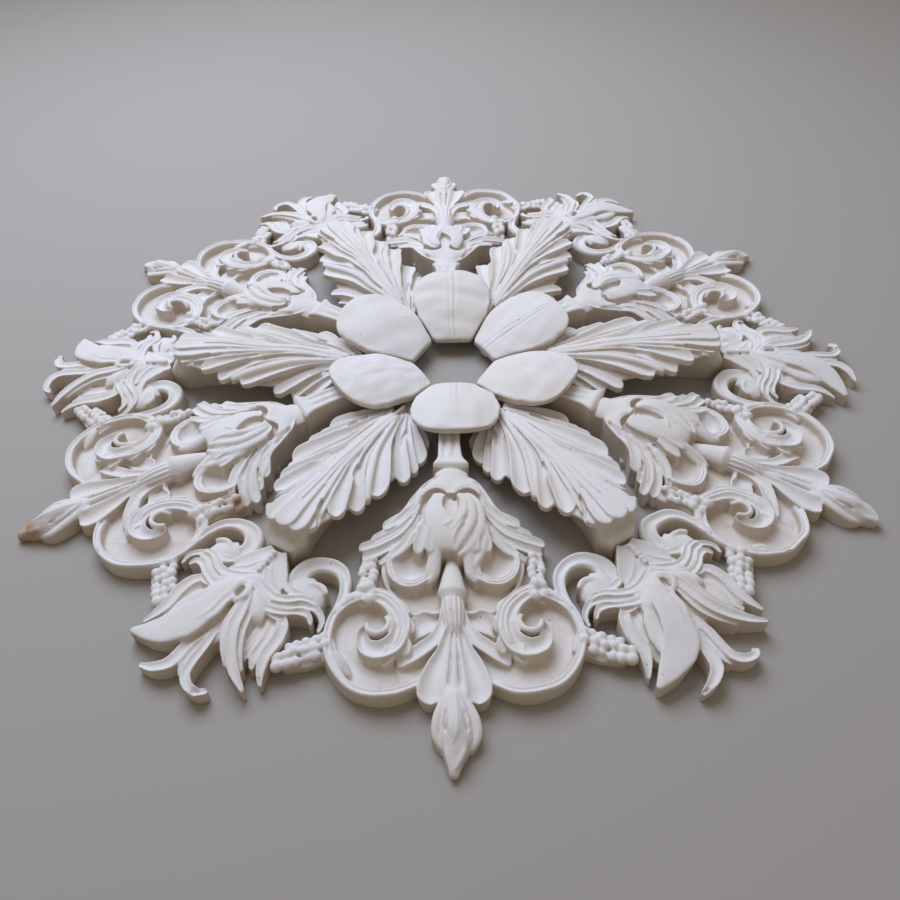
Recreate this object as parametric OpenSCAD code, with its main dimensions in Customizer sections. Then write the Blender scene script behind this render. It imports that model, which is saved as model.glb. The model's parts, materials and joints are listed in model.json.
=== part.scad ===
// Ceiling rose: twenty-four plaster castings laid out as a six-fold openwork ring.
// The back is flat and lies on z = 0; the carved face looks along +Z.
// Lengths are millimetres. "u" is the distance out from the centre along a casting's own axis,
// and "v" is the distance to the side of that axis.

/* [Petals] */
// Radius of the open centre, to the inner end of a petal
hole_r = 64; // [50:1:80]
// Length of a petal, seen from the front
petal_l = 164; // [130:1:200]
// Greatest width of a petal
petal_w = 148; // [110:1:180]
// Width of a petal's squared inner end
petal_in_w = 68; // [40:1:74]
// Thickness of a petal's edge
petal_t = 14; // [10:1:20]
// How far the middle of a petal bows up above the line between its ends
petal_crown = 16; // [8:1:20]
// Height of the underside at a petal's inner end
petal_seat = 27; // [22:1:34]
// Slope of a petal, rising outwards
petal_tilt = 15.5; // [10:0.5:20]
// Gap between neighbouring petals
petal_gap = 3; // [1:0.5:8]
// How far the ring of petals is laid to the +X side of the centre
petal_shift = 10; // [0:1:12]
// Distance between the two grooves of a petal's midrib
rib_w = 9; // [6:1:14]
// Depth of a midrib groove
rib_d = 2; // [1:0.5:3]

/* [Panel stem] */
// Length of the stem, from its inner end to the collar
stem_l = 212; // [170:1:260]
// Width of the stem where the petal covers it
stem_w = 29; // [22:1:36]
// Width of the stem just before its lip
stem_out_w = 40; // [34:1:46]
// Width of the flared lip
lip_w = 56; // [50:1:62]
// Height of the stem and its lip
stem_h = 60; // [52:1:66]
// Length of the rounded collar behind the lip
collar_l = 28; // [20:1:36]

/* [Panel shell] */
// Length of the shell, from the collar to the bottom of its cups
shell_l = 172; // [150:1:200]
// Width across the tips of the shell's fluted ears
shell_w = 272; // [240:1:290]
// Height of the shell where it leaves the collar
shell_h = 66; // [56:1:72]
// Height of the shell at the tips of its ears
ear_h = 30; // [24:1:40]
// Depth of the shell's flutes
shell_flute = 7; // [3:1:10]

/* [Panel scrolls] */
// Radius of a tray, to the middle of its rim
tray_r = 80; // [66:1:86]
// Distance from the panel's axis to the middle of a tray
tray_v = 88; // [84:1:96]
// Thickness of the trays' floor
floor_t = 12; // [8:1:16]
// Width of the moulded rim
rim_w = 12; // [9:1:15]
// Height of the moulded rim
rim_h = 31; // [26:1:38]
// Radius of a side curl, to the middle of its band
curl_r = 29; // [24:1:32]
// Width of a side curl's band
curl_w = 18; // [14:1:22]
// Radius of a grape
grape_r = 8.5; // [7:0.5:10]

/* [Panel tail] */
// Length of the trumpet of the vine
vine_l = 72; // [60:1:84]
// Radius of the trumpet's lip
vine_r = 16; // [13:1:18]
// Length of the fluted tassel
tassel_l = 62; // [50:1:70]
// Length of the bud, from the lower lobes to its tip
bud_l = 101; // [84:1:120]
// Greatest radius of the bud
bud_r = 28; // [22:1:32]

/* [Acanthus leaves] */
// Radius at which a leaf starts, under the petals
leaf_in = 150; // [140:1:165]
// Length of a leaf, seen from the front
leaf_l = 332; // [270:1:350]
// Greatest width of a leaf
leaf_w = 196; // [160:1:200]
// Height of a leaf's crest at its tip
leaf_h = 88; // [78:1:92]
// How far the crest bows up above a straight line
leaf_bow = 12; // [6:1:16]
// How far the edges drop below the crest
leaf_arch = 25; // [15:1:30]
// Thickness of a leaf's edge
leaf_t = 15; // [10:1:20]
// Depth of the flutes
leaf_flute = 6; // [3:1:9]
// Width of the keel under a leaf
keel_w = 46; // [36:1:56]

/* [Foliage sprays] */
// Length of a spray, from its stalk to the tips of its tongues
spray_l = 234; // [190:1:250]
// Height of a spray's stalk
stalk_h = 44; // [36:1:52]
// Width of the stalk at the joint with the leaf's block
stalk_w = 30; // [24:1:36]
// Height of the tongues
tongue_h = 32; // [26:1:38]
// Height of the overturned leaf in the middle of a spray
heart_h = 50; // [44:1:58]
// Gap left at the joints between castings
joint_gap = 1.5; // [0.5:0.5:3]

/* [Hidden] */
SECTORS = 6;
PLASTER = "#ecebe7";
step_a = 360 / SECTORS;
half_a = step_a / 2;

// Stations along a panel's axis, each one worked out from the one before it
stem_in = hole_r + 12;
collar_u = stem_in + stem_l;
shell_u = collar_u + collar_l;
cups_u = shell_u + shell_l;
vine_u = cups_u - 38;
tassel_u = vine_u + vine_l;
tray_u = cups_u + tray_r - 3;
lobes_u = tray_u + tray_r + 4;
rim_out = tray_r + rim_w / 2;

// Places beside the axis that the sprays have to clear
curl_u = tray_u - tray_r - 6;
curl_v = tray_v + tray_r + 15;
bunch_a = 70;
bunch_from = [tray_u, tray_v] + (rim_out + 1) * [cos(bunch_a), sin(bunch_a)];
grape_u = tray_u + 38;
grape_v = tray_v + tray_r + 62;

// Stations along a leaf's and a spray's axis
leaf_tip = leaf_in + leaf_l;
block_out = leaf_tip + 10;
spray_in = block_out + joint_gap;
spray_tip = spray_in + spray_l;

// ---- helpers ----

// A point on a cubic curve through the control points p0 to p3
function bezier(p, t) =
    pow(1 - t, 3) * p[0] + 3 * t * pow(1 - t, 2) * p[1] + 3 * t * t * (1 - t) * p[2] + pow(t, 3) * p[3];
// The direction of that curve
function bezier_way(p, t) =
    3 * pow(1 - t, 2) * (p[1] - p[0]) + 6 * t * (1 - t) * (p[2] - p[1]) + 3 * t * t * (p[3] - p[2]);
function unit(a) = a / norm(a);
function side_of(a) = [-unit(a)[1], unit(a)[0]];
// A place in a panel's frame, moved into the frame of the spray beside it
function beside(p) = [
    p[0] * cos(half_a) + p[1] * sin(half_a),
    abs(-p[0] * sin(half_a) + p[1] * cos(half_a)),
];

// A band along a cubic curve, w0 wide at its start, w1 at its middle and w2 at its end
module ribbon(p, w0, w1, w2, h, n = 12) {
    edge = [for (i = [0:n]) let (t = i / n, w = bezier([w0, w1, w1, w2], t) / 2)
        [bezier(p, t), side_of(bezier_way(p, t)) * w]];
    linear_extrude(h)
        polygon(concat([for (e = edge) e[0] + e[1]], [for (i = [n:-1:0]) edge[i][0] - edge[i][1]]));
}

// An arc of rim or band round the place c, from the angle a0 over the angle sweep
module arc_band(c, r, a0, sweep, w, h) {
    translate([c[0], c[1], 0])
        rotate(a0)
            rotate_extrude(angle = sweep, $fn = 72)
                translate([r - w / 2, 0])
                    rim_section(w, h);
}

// Section of a moulded rim: upright sides and a round top
module rim_section(w, h) {
    square([w, h - w / 2]);
    translate([w / 2, h - w / 2])
        intersection() {
            circle(w / 2, $fn = 24);
            translate([-w, 0])
                square([2 * w, w]);
        }
}

// A closed slab over a grid of top points, with its underside at the heights of low
module slab(top, low) {
    rows = len(top);
    cols = len(top[0]);
    n = rows * cols;
    at = function (i, j) i * cols + j;
    points = concat([for (r = top) each r], [for (r = low) each r]);
    quads = concat(
        [for (i = [0:rows - 2], j = [0:cols - 2]) [at(i, j), at(i, j + 1), at(i + 1, j + 1), at(i + 1, j)]],
        [for (i = [0:rows - 2], j = [0:cols - 2])
            [n + at(i, j), n + at(i + 1, j), n + at(i + 1, j + 1), n + at(i, j + 1)]],
        [for (i = [0:rows - 2]) [at(i, 0), at(i + 1, 0), n + at(i + 1, 0), n + at(i, 0)]],
        [for (i = [0:rows - 2])
            [at(i + 1, cols - 1), at(i, cols - 1), n + at(i, cols - 1), n + at(i + 1, cols - 1)]],
        [for (j = [0:cols - 2]) [at(0, j + 1), at(0, j), n + at(0, j), n + at(0, j + 1)]],
        [for (j = [0:cols - 2])
            [at(rows - 1, j), at(rows - 1, j + 1), n + at(rows - 1, j + 1), n + at(rows - 1, j)]]
    );
    polyhedron(points, [for (q = quads) each [[q[0], q[1], q[2]], [q[0], q[2], q[3]]]]);
}

// Both sides of the axis
module both_sides() {
    children();
    mirror([0, 1, 0])
        children();
}

// ---- petals ----

// Height of a petal's underside above a place u along the petal's own axis
function petal_under(u) = petal_seat + (u - hole_r) * tan(petal_tilt);

// What lies under the petals stays this much lower, because the ring is laid off centre
seat_drop = petal_shift * cos(half_a) * tan(petal_tilt);

// Half the width of a petal at a share t of its length
function petal_half(t) =
    t < 0.66
        ? petal_in_w / 2 + (petal_w - petal_in_w) / 2 * sin(90 * min(1, t / 0.5))
        : petal_w / 2 * pow(max(0, 1 - pow((t - 0.66) / 0.34, 2)), 0.5);

module petal_outline() {
    steps = concat([for (i = [0:9]) 0.04 + 0.62 * i / 9], [for (i = [1:10]) 0.66 + 0.34 * sin(9 * i)]);
    side = [for (t = steps) [hole_r + petal_l * t, petal_half(t)]];
    intersection() {
        polygon(concat(
            [[hole_r, -petal_in_w / 2 + 6], [hole_r, petal_in_w / 2 - 6]],
            side,
            [for (i = [len(side) - 2:-1:0]) [side[i][0], -side[i][1]]]
        ));
        translate([petal_gap / 2 / sin(half_a), 0])
            polygon([[0, 0], 600 * [cos(half_a), sin(half_a)], 600 * [cos(half_a), -sin(half_a)]]);
    }
}

module petal() {
    dome_r = pow(petal_l / 2, 2) / (2 * petal_crown) + petal_crown / 2;
    color(PLASTER)
        intersection() {
            linear_extrude(150)
                petal_outline();
            translate([hole_r, 0, petal_seat])
                rotate([0, -petal_tilt, 0])
                    difference() {
                        translate([-50, -petal_w, 0])
                            cube([petal_l * 1.5, 2 * petal_w, 60]);
                        difference() {
                            translate([-60, -petal_w - 10, -1])
                                cube([petal_l * 1.5 + 20, 2 * petal_w + 20, 62]);
                            translate([petal_l / 2, 0, petal_t + petal_crown - dome_r])
                                rotate([90, 0, 0])
                                    sphere(dome_r, $fn = 96);
                        }
                        for (s = [-1, 1])
                            translate([petal_l / 2, s * rib_w / 2, petal_t + petal_crown - dome_r])
                                rotate([90, 0, 0])
                                    rotate_extrude($fn = 96)
                                        translate([dome_r, 0])
                                            circle(rib_d, $fn = 16);
                    }
        }
}

// ---- scroll panels ----

module stem() {
    difference() {
        union() {
            linear_extrude(stem_h)
                polygon([
                    [stem_in, -stem_w / 2], [stem_in, stem_w / 2],
                    [collar_u - 16, stem_out_w / 2], [collar_u - 5, lip_w / 2], [collar_u, lip_w / 2],
                    [collar_u, -lip_w / 2], [collar_u - 5, -lip_w / 2], [collar_u - 16, -stem_out_w / 2],
                ]);
            translate([collar_u, 0, 0])
                linear_extrude(stem_h - 6)
                    translate([-1, -lip_w / 2])
                        square([collar_l + 2, lip_w]);
            translate([collar_u - 1, 0, stem_h - 6 - lip_w / 2])
                intersection() {
                    rotate([0, 90, 0])
                        cylinder(h = collar_l + 2, r = lip_w / 2 + 5, $fn = 64);
                    translate([0, -lip_w / 2, 0])
                        cube([collar_l + 2, lip_w, lip_w]);
                }
        }
        for (s = [-1, 1])
            translate([stem_in - 5, s * stem_w / 4.5, stem_h + 1])
                rotate([0, 90, s * 0.8])
                    cylinder(h = stem_l - 16, r = 4.5, $fn = 24);
        translate([hole_r, 0, petal_seat - seat_drop])
            rotate([0, -petal_tilt, 0])
                translate([-60, -60, 0])
                    cube([petal_l + 52, 120, 80]);
    }
}

// Half the width of the shell at a share t of its length
function shell_half(t) =
    t < 0.44 ? lip_w / 2 + (shell_w / 2 * 0.62 - lip_w / 2) * pow(t / 0.44, 1.5)
        : t < 0.62 ? shell_w / 2 * (0.62 + 0.38 * sin(90 * (t - 0.44) / 0.18))
        : shell_w / 2 * (1 - 0.13 * (t - 0.62) / 0.38);

// Height of the shell at a share t of its length and s across it, with flutes that fan out
function shell_top(t, s) =
    let (spine = shell_h * (1 - 0.42 * t * t), fall = (spine - ear_h) * pow(abs(s), 1.3))
    spine - fall - shell_flute * t * (1 - cos(360 * 2.5 * abs(s))) / 2 * (abs(s) < 0.99 ? 1 : 0);

module shell() {
    rows = 12;
    cols = 10;
    at = function (i, j)
        let (t = i / rows, s = 2 * j / cols - 1, back = 26 * t * abs(s))
        [shell_u + (shell_l - back) * t, s * shell_half(t), shell_top(t, s)];
    top = [for (i = [0:rows]) [for (j = [0:cols]) at(i, j)]];
    slab(top, [for (r = top) [for (p = r) [p[0], p[1], 0]]]);
}

// Two cups hang below the shell, and two leaves turn over where it leaves the collar
module shell_carving() {
    both_sides() {
        arc_band([cups_u - 34, 46], 30, -75, 150, 14, 38);
        arc_band([shell_u + 40, 30], 30, 95, 110, 12, shell_h + 5);
    }
    translate([shell_u + 45, 0, shell_h - 6])
        rotate_extrude($fn = 48)
            translate([16, 0])
                circle(7, $fn = 24);
}

module tray_plate() {
    linear_extrude(floor_t)
        union() {
            for (s = [-1, 1])
                translate([tray_u, s * tray_v])
                    circle(tray_r, $fn = 96);
            translate([shell_u + 40, -tray_v * 0.8])
                square([lobes_u - shell_u - 40, tray_v * 1.6]);
            translate([cups_u - 44, -tray_v - 36])
                square([60, 2 * (tray_v + 36)]);
        }
}

// The tray's rim winds in to a volute, as a chain of arcs of falling radius
module scroll() {
    middle = [tray_u, tray_v];
    eye = middle + tray_r * [-0.125, 0.1875];
    arc_band(middle, tray_r, -34, 182, rim_w, rim_h);
    arc_band(middle + tray_r * [-0.175, 0.125], tray_r * 0.675, 140, 75, rim_w + 4, rim_h + 4);
    arc_band(middle + tray_r * [-0.075, 0.075], tray_r * 0.475, 190, 120, rim_w + 8, rim_h + 6);
    arc_band(middle + tray_r * [0.025, 0.05], tray_r * 0.41, -62, 70, rim_w + 8, rim_h + 6);
    arc_band(eye, tray_r / 4, -18, 150, rim_w, rim_h + 5);
    translate([eye[0] - 2, eye[1] + 2, 0])
        cylinder(h = rim_h, r = 8, $fn = 32);
}

module side_curl() {
    tail = [
        [tray_u + 6, tray_v + tray_r], [tray_u - 20, tray_v + tray_r],
        [tray_u - 50, curl_v - curl_r + 1], [curl_u - 1, curl_v - curl_r],
    ];
    ribbon(tail, rim_w, rim_w, curl_w, rim_h);
    arc_band([curl_u, curl_v], curl_r, 70, 200, curl_w, rim_h + 2);
    arc_band([curl_u + 9, curl_v + 2], curl_r - 8, -30, 110, curl_w - 2, rim_h + 2);
    translate([curl_u + 24, curl_v - 8, 0])
        cylinder(h = rim_h, r = curl_w / 2 + 3, $fn = 40);
}

// Grapes in rows of two on a stalk, along a straight line from a to b
module grapes(a, b, top) {
    across = side_of(b - a);
    rows = floor(norm(b - a) / (2.1 * grape_r));
    for (i = [0:rows], s = [-1, 1])
        let (p = a + (b - a) * i / rows + across * s * grape_r * 1.06)
            translate([p[0], p[1], top - grape_r - (i % 2) * 2])
                sphere(grape_r, $fn = 24);
    linear_extrude(top - grape_r * 1.3)
        polygon([
            a - across * grape_r, a + across * grape_r,
            b + across * grape_r * 0.8, b - across * grape_r * 0.8,
        ]);
}

// The trumpet of the vine, the tassel in its mouth and the leaves that spread from it
module vine() {
    axis_h = 26;
    translate([vine_u, 0, axis_h])
        rotate([0, 90, 0])
            cylinder(h = vine_l, r1 = vine_r * 0.5, r2 = vine_r, $fn = 48);
    linear_extrude(axis_h)
        polygon([
            [vine_u, -vine_r * 0.5], [vine_u, vine_r * 0.5], [tassel_u, vine_r], [tassel_u + tassel_l, 9],
            [lobes_u, 8], [lobes_u, -8], [tassel_u + tassel_l, -9], [tassel_u, -vine_r],
        ]);
    translate([tassel_u - 1, 0, axis_h - 2])
        rotate([0, 90, 0])
            difference() {
                cylinder(h = tassel_l, r1 = vine_r * 0.7, r2 = vine_r * 0.85, $fn = 48);
                for (a = [120:30:240])
                    rotate(a)
                        translate([vine_r * 0.8, 0, -1])
                            cylinder(h = tassel_l + 2, r = 2, $fn = 16);
            }
    leaf = [
        [tassel_u + 40, 6], [tassel_u + 62, 14],
        [tassel_u + 74, tray_v * 0.4], [tassel_u + 98, tray_v * 0.84],
    ];
    both_sides() {
        ribbon(leaf, 20, 26, 3, rim_h - 3);
        ribbon([for (p = leaf) p + [-6, 0]], 8, 6, 2, rim_h + 2);
    }
}

// Two lobes over the meeting of the rims, then the bud that ends the panel
module bud() {
    lobe_r = 18;
    both_sides()
        translate([lobes_u - 8, 28, 0]) {
            cylinder(h = rim_h - lobe_r * 0.6, r = lobe_r, $fn = 48);
            translate([0, 0, rim_h - lobe_r * 0.6])
                intersection() {
                    sphere(lobe_r * 0.96, $fn = 48);
                    translate([-lobe_r, -lobe_r, 0])
                        cube([2 * lobe_r, 2 * lobe_r, lobe_r * 0.6]);
                }
        }
    taper = function (t) t > 0.75 ? 1 - pow((t - 0.75) / 0.25, 1.4) : 1;
    profile = [for (i = [0:12]) let (t = i / 12)
        [bud_r * (0.42 + 0.58 * sin(180 * pow(t, 0.9))) * taper(t), t * (bud_l + 12)]];
    intersection() {
        translate([lobes_u - 12, 0, 8])
            rotate([0, 90, 0])
                rotate_extrude($fn = 64)
                    polygon(concat([[0, 0]], [for (p = profile) [max(p[0], 0), p[1]]]));
        translate([lobes_u - 20, -2 * bud_r, 0])
            cube([bud_l + 40, 4 * bud_r, 60]);
    }
}

module scroll_panel() {
    color(PLASTER)
        union() {
            stem();
            shell();
            shell_carving();
            tray_plate();
            both_sides() {
                scroll();
                side_curl();
                grapes([cups_u - 36, tray_v + 26], [cups_u + 18, tray_v + 44], rim_h + 4);
                grapes(bunch_from, [grape_u, grape_v], rim_h - 2);
            }
            vine();
            bud();
        }
}

// ---- acanthus leaves ----

// Height of the crest at a share t of a leaf's length; it starts just under the petals
function crest(t) =
    let (start = petal_under(leaf_in * cos(half_a)) - seat_drop - 2)
    start + (leaf_h - start) * t + 4 * leaf_bow * t * (1 - t);

// How far a leaf's edge lags behind its crest
function leaf_lag(t) = 26 * (1 - 1.4 * t);

// Half the width of a leaf, with five lobes a side, clear of the panels' stems
function leaf_half(t, notch) =
    let (
        edge_u = leaf_in + leaf_l * t - max(0, leaf_lag(t)),
        room = edge_u * tan(half_a) - stem_out_w / 2 / cos(half_a) - joint_gap
    )
    min(room, leaf_w / 2 * (0.72 + 0.28 * sin(180 * min(1, t * 1.15))) * pow(1 - pow(t, 3.2), 0.5) * notch);

module leaf_blade() {
    rows = 15;
    cols = 10;
    at = function (i, j)
        let (
            t = 0.985 * i / rows,
            s = 2 * j / cols - 1,
            notch = i % 3 == 0 ? 0.84 : 1,
            v = s * leaf_half(t, notch),
            groove = leaf_flute * (j % 2) * sin(180 * min(1, 0.25 + t * 0.7))
        )
        [
            leaf_in + leaf_l * t - leaf_lag(t) * s * s, v,
            crest(t) - leaf_arch * pow(2 * v / leaf_w, 2) - groove,
        ];
    top = [for (i = [0:rows]) [for (j = [0:cols]) at(i, j)]];
    low = [for (r = top) [for (j = [0:cols])
        [r[j][0], r[j][1], r[j][2] - leaf_t + (j % 2 == 1 ? leaf_flute * 0.5 : 0)]]];
    slab(top, low);
}

// The keel carries the blade, stands on the ground and ends in a block that meets the spray
module leaf_keel() {
    under = [for (i = [1:8]) let (t = i / 9) [leaf_in + leaf_l * t, crest(t) - leaf_t * 0.7]];
    translate([0, keel_w / 2, 0])
        rotate([90, 0, 0])
            linear_extrude(keel_w)
                polygon(concat(
                    [
                        [leaf_in - 20, 0], [leaf_in - 20, crest(0) - leaf_t * 0.9],
                        [leaf_in + 4, crest(0) - leaf_t * 0.7],
                    ],
                    under,
                    [
                        [leaf_tip - 14, leaf_h - leaf_t], [block_out - 12, stalk_h + 16],
                        [block_out, stalk_h], [block_out, 0],
                    ]
                ));
}

module acanthus_leaf() {
    color(PLASTER)
        union() {
            leaf_blade();
            leaf_keel();
        }
}

// ---- foliage sprays ----

module spray_stalk() {
    linear_extrude(stalk_h - 6)
        polygon([
            [spray_in, -stalk_w / 2], [spray_in, stalk_w / 2], [spray_in + 40, stalk_w / 2 + 10],
            [spray_in + 62, stalk_w], [spray_in + 62, -stalk_w], [spray_in + 40, -stalk_w / 2 - 10],
        ]);
    translate([spray_in, 0, stalk_h - 14])
        rotate([0, 90, 0])
            cylinder(h = 56, r = 14, $fn = 48);
    for (i = [0:3])
        translate([spray_in + 22 + i * 9, 0, stalk_h + 1])
            sphere(4.5, $fn = 24);
}

// The side leaves reach to the rims of the panels on either side
module spray_side_leaves() {
    rim = beside([tray_u, tray_v]);
    reach = rim[1] - rim_out - joint_gap;
    at_u = rim[0] - 14;
    both_sides() {
        ribbon([[spray_in + 34, 2], [spray_in + 86, 30], [at_u + 42, reach * 0.66], [at_u + 58, reach - 8]],
            22, 34, 20, stalk_h - 8);
        ribbon([[spray_in + 36, 4], [spray_in + 84, 32], [at_u + 36, reach * 0.66], [at_u + 54, reach - 10]],
            8, 8, 6, stalk_h - 1);
        arc_band([at_u + 50, reach - 10], 9, 100, 150, 10, stalk_h - 10);
    }
}

// The overturned leaf in the middle, with its oval eye
module spray_heart() {
    rows = 8;
    cols = 8;
    from = spray_in + 56;
    length = spray_l * 0.47;
    at = function (i, j)
        let (
            t = i / rows,
            s = 2 * j / cols - 1,
            half = 34 + 26 * sin(180 * t * 0.8),
            groove = 6 * (j % 2) * sin(180 * min(1, t + 0.15))
        )
        [from + length * (t - 0.12 * s * s), s * half, heart_h - 18 * t * t - 16 * s * s - groove];
    top = [for (i = [0:rows]) [for (j = [0:cols]) at(i, j)]];
    slab(top, [for (r = top) [for (p = r) [p[0], p[1], 0]]]);
    translate([from + 14, 0, heart_h - 6])
        rotate_extrude($fn = 36)
            translate([9, 0])
                circle(4, $fn = 20);
}

// Flame-like tongues at the outer end, kept clear of the grapes of the panels
module spray_tongues() {
    cluster = beside([grape_u, grape_v]);
    room = cluster[1] - 1.8 * grape_r - joint_gap;
    base = spray_in + 120;
    both_sides() {
        ribbon([[base, 12], [base + 44, 8], [spray_tip - 44, 14], [spray_tip - 4, 46]], 26, 30, 4, tongue_h);
        ribbon([[base, 30], [base + 34, 30], [base + 56, 46], [base + 72, 80]], 26, 28, 4, tongue_h - 2);
        ribbon([[base - 30, 36], [base, 46], [base + 22, room - 14], [base + 52, room + 14]],
            24, 22, 4, tongue_h);
    }
}

module foliage_spray() {
    color(PLASTER)
        union() {
            spray_stalk();
            spray_side_leaves();
            spray_heart();
            spray_tongues();
        }
}

// ---- the rose ----

module petal_at(k) translate([petal_shift, 0, 0]) rotate(-90 + step_a * (k - 1)) petal();
module panel_at(k) rotate(-90 + step_a * (k - 1)) scroll_panel();
module leaf_at(k) rotate(-90 + half_a + step_a * (k - 1)) acanthus_leaf();
module spray_at(k) rotate(-90 + half_a + step_a * (k - 1)) foliage_spray();

for (k = [1:SECTORS]) {
    petal_at(k);
    leaf_at(k);
    panel_at(k);
    spray_at(k);
}
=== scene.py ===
"""Ceiling rose of cast gypsum plaster: six scroll panels, six acanthus leaves, six foliage sprays and
six petals laid out as an openwork ring, carved face up on a plain floor.

Each casting is modelled once, lying along +X with its flat back on z = 0, in millimetres.
"u" is the distance out from the centre of the rose and "v" the distance to the side.
The carving is built up from closed swept solids, which are then run together into one skin."""

import json
import math

import bpy
import numpy as np
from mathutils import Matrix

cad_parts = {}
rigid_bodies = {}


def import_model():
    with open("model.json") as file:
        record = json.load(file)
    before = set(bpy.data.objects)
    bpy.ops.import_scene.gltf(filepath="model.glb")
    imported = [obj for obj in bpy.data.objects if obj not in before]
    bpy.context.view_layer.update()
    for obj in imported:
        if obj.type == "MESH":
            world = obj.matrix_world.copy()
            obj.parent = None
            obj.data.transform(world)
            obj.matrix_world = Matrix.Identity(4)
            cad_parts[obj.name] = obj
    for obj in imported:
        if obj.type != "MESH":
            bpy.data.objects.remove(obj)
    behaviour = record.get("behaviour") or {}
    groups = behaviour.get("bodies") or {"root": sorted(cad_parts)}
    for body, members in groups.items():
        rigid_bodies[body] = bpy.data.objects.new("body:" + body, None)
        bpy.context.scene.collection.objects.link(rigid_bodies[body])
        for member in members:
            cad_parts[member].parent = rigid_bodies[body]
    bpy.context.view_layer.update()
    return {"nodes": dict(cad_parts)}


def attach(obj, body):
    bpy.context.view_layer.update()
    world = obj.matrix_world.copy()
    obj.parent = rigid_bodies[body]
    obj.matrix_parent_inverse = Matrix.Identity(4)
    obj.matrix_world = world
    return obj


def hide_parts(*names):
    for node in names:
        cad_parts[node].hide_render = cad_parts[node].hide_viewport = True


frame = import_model()

# The rose has six equal sectors, and the first panel points to the front
SECTORS = 6
STEP = math.tau / SECTORS
FRONT = -math.pi / 2
MM = 0.001
UPRIGHT = np.array([0.0, 0.0, 1.0])

# How finely each casting's parts are run together, in mm, and the triangles that its skin is thinned to
FINENESS = {
    "acanthus_leaf": (1.25, 34000),
    "scroll_panel": (1.2, 76000),
    "foliage_spray": (1.3, 40000),
    "petal": (1.4, 8000),
}
# Height of the slow waves that make a cast face uneven, in mm
UNEVENNESS = 0.42


# ---- small tools ----


def linear(hex_colour):
    """An sRGB hex colour as linear RGBA."""
    shares = [int(hex_colour[i : i + 2], 16) / 255 for i in (1, 3, 5)]
    return [s / 12.92 if s <= 0.04045 else ((s + 0.055) / 1.055) ** 2.4 for s in shares] + [1.0]


def smooth(x, low, high):
    """0 below low, 1 above high, and an even slope between them."""
    t = np.clip((np.asarray(x, float) - low) / (high - low), 0, 1)
    return t * t * (3 - 2 * t)


def curve(points, count, bunch=0.0):
    """A smooth line through the points, as count places; bunch draws them together at the far end."""
    points = np.asarray(points, float)
    if len(points) == 2:
        points = np.array([points[0], (points[0] + points[1]) / 2, points[1]])
    spans = np.sqrt(np.linalg.norm(np.diff(points, axis=0), axis=1))
    knots = np.concatenate([[0], np.cumsum(spans)])
    ends = np.vstack([2 * points[0] - points[1], points, 2 * points[-1] - points[-2]])
    times = np.concatenate([[-spans[0]], knots, [knots[-1] + spans[-1]]])
    share = np.linspace(0, 1, count)
    share = (1 - bunch) * share + bunch * np.sin(share * math.pi / 2)
    out = []
    for t in share * knots[-1]:
        i = int(min(max(np.searchsorted(knots, t, side="right"), 1), len(points) - 1))
        # Three mixes of the four nearest points, each a step smoother than the one before
        near, k = ends[i - 1 : i + 3], times[i - 1 : i + 3]
        one = [((k[j + 1] - t) * near[j] + (t - k[j]) * near[j + 1]) / (k[j + 1] - k[j]) for j in range(3)]
        two = [((k[j + 2] - t) * one[j] + (t - k[j]) * one[j + 1]) / (k[j + 2] - k[j]) for j in range(2)]
        out.append(((k[2] - t) * two[0] + (t - k[1]) * two[1]) / (k[2] - k[1]))
    return np.array(out)


def along(values, share):
    """The values spread evenly along a line and read off at the given shares of its length."""
    return np.interp(share, np.linspace(0, 1, len(values)), values)


def grid_object(points):
    """A flat grid primitive with its vertices moved to the given rows of points."""
    rows, cols = points.shape[:2]
    bpy.ops.object.select_all(action="DESELECT")
    bpy.ops.mesh.primitive_grid_add(x_subdivisions=cols - 1, y_subdivisions=rows - 1)
    obj = bpy.context.object
    obj.name = "relief"
    obj.data.vertices.foreach_set("co", points.reshape(-1).astype(np.float32))
    return obj


def solid_from_rings(rings):
    """A closed solid: a grid rolled up through rings of points, with both ends filled."""
    obj = grid_object(np.concatenate([rings, rings[:, :1]], axis=1))
    bpy.ops.object.mode_set(mode="EDIT")
    bpy.ops.mesh.select_all(action="SELECT")
    bpy.ops.mesh.remove_doubles(threshold=1e-4)
    bpy.ops.mesh.select_all(action="DESELECT")
    bpy.ops.mesh.select_non_manifold(extend=False)
    bpy.ops.mesh.fill_holes(sides=0)
    bpy.ops.mesh.select_all(action="SELECT")
    bpy.ops.mesh.normals_make_consistent(inside=False)
    bpy.ops.object.mode_set(mode="OBJECT")
    return obj


def sweep(path, across, up):
    """A solid whose upright section, given as across and up at each place, is carried along a path."""
    path = np.asarray(path, float)
    flat = np.gradient(path, axis=0) * (1, 1, 0)
    flat[np.linalg.norm(flat, axis=1) < 1e-6] = flat[0]
    side = np.stack([-flat[:, 1], flat[:, 0], 0 * flat[:, 0]], axis=1)
    side /= np.linalg.norm(side, axis=1)[:, None]
    return solid_from_rings(path[:, None] + across[..., None] * side[:, None] + up[..., None] * UPRIGHT)


# Shares of a leaflet's half width: places across its face and its underside, and where the rim begins
SECTION = np.linspace(-1, 1, 19)
TOES = np.array([0.86, 0.0, -0.86])
RIM = 0.84
# A hollow flute's section: 0 along its rims and -1 in its middle
TROUGH = -(1 - np.clip(np.abs(SECTION) / RIM, 0, 1) ** 2.2)


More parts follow.
